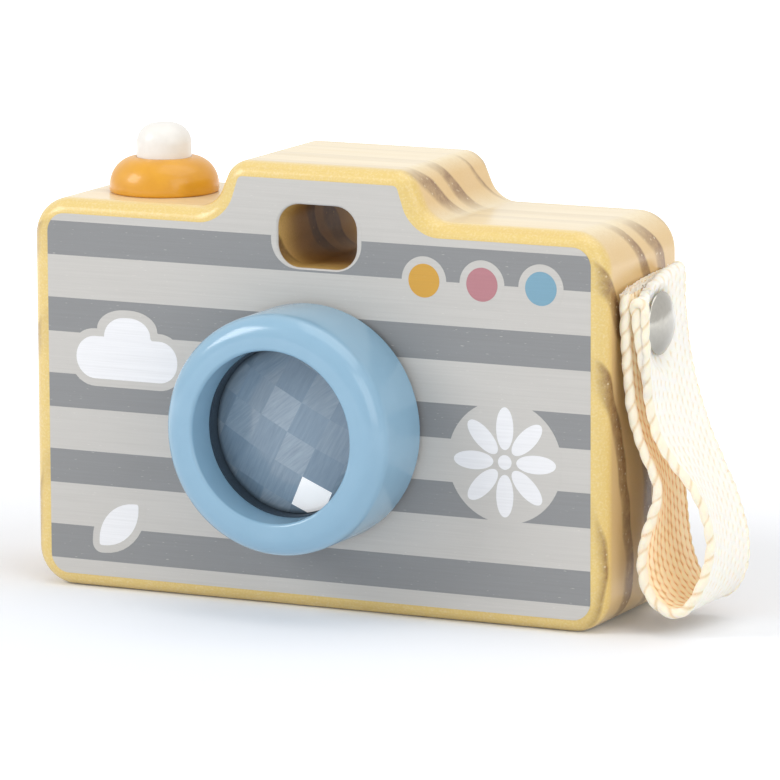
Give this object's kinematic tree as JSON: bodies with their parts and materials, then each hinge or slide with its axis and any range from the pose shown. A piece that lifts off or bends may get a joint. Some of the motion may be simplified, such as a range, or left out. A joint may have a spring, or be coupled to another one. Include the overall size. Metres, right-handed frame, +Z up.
{
  "type": "toy camera",
  "caption": "Wooden toy camera with a raised crown, open viewfinder, turning ring with a faceted lens, sprung button in a collar and a webbing wrist strap on a tack.",
  "frame": {"origin": "middle of the block's underside", "axes": "+X across the front towards the strap, -Y out of the printed front, +Z up"},
  "size_m": [0.1497, 0.0578, 0.0959],
  "materials": {
    "pine": "clear varnish over pine, printed front",
    "ring_paint": "satin blue paint",
    "lens_clear": "polished clear acrylic",
    "gasket": "matt dark rubber",
    "bearing": "moulded, satin",
    "steel": "bright drawn wire",
    "collar_paint": "satin orange paint",
    "button_paint": "satin white paint",
    "webbing": "woven undyed cotton",
    "nickel": "nickel plate"
  },
  "bodies": {
    "block": {"body_block": "pine", "lens_bush": "bearing", "snap_ring": "steel", "button_collar": "collar_paint", "button_spring": "steel", "strap_tack": "nickel"},
    "lens": {"lens_ring": "ring_paint", "lens_gasket": "gasket", "faceted_lens": "lens_clear", "turning_sleeve": "bearing"},
    "button": {"shutter_button": "button_paint"},
    "strap": {"strap": "webbing"}
  },
  "joints": [
    {"name": "lens_turn", "type": "hinge", "parent": "block", "child": "lens", "pos_m": [0, -0.019, 0.039], "axis": [0, -1, 0], "continuous": true},
    {"name": "shutter_press", "type": "slide", "parent": "block", "child": "button", "axis": [0, 0, -1], "range_m": [0, 0.003], "stiffness_N_per_m": 600, "springref_m": -0.002, "deforming": ["button_spring"]},
    {"name": "strap_swing", "type": "hinge", "parent": "block", "child": "strap", "pos_m": [0.065, -0.0035, 0.0619], "axis": [1, 0, 0], "range_deg": [-75, 75]}
  ]
}
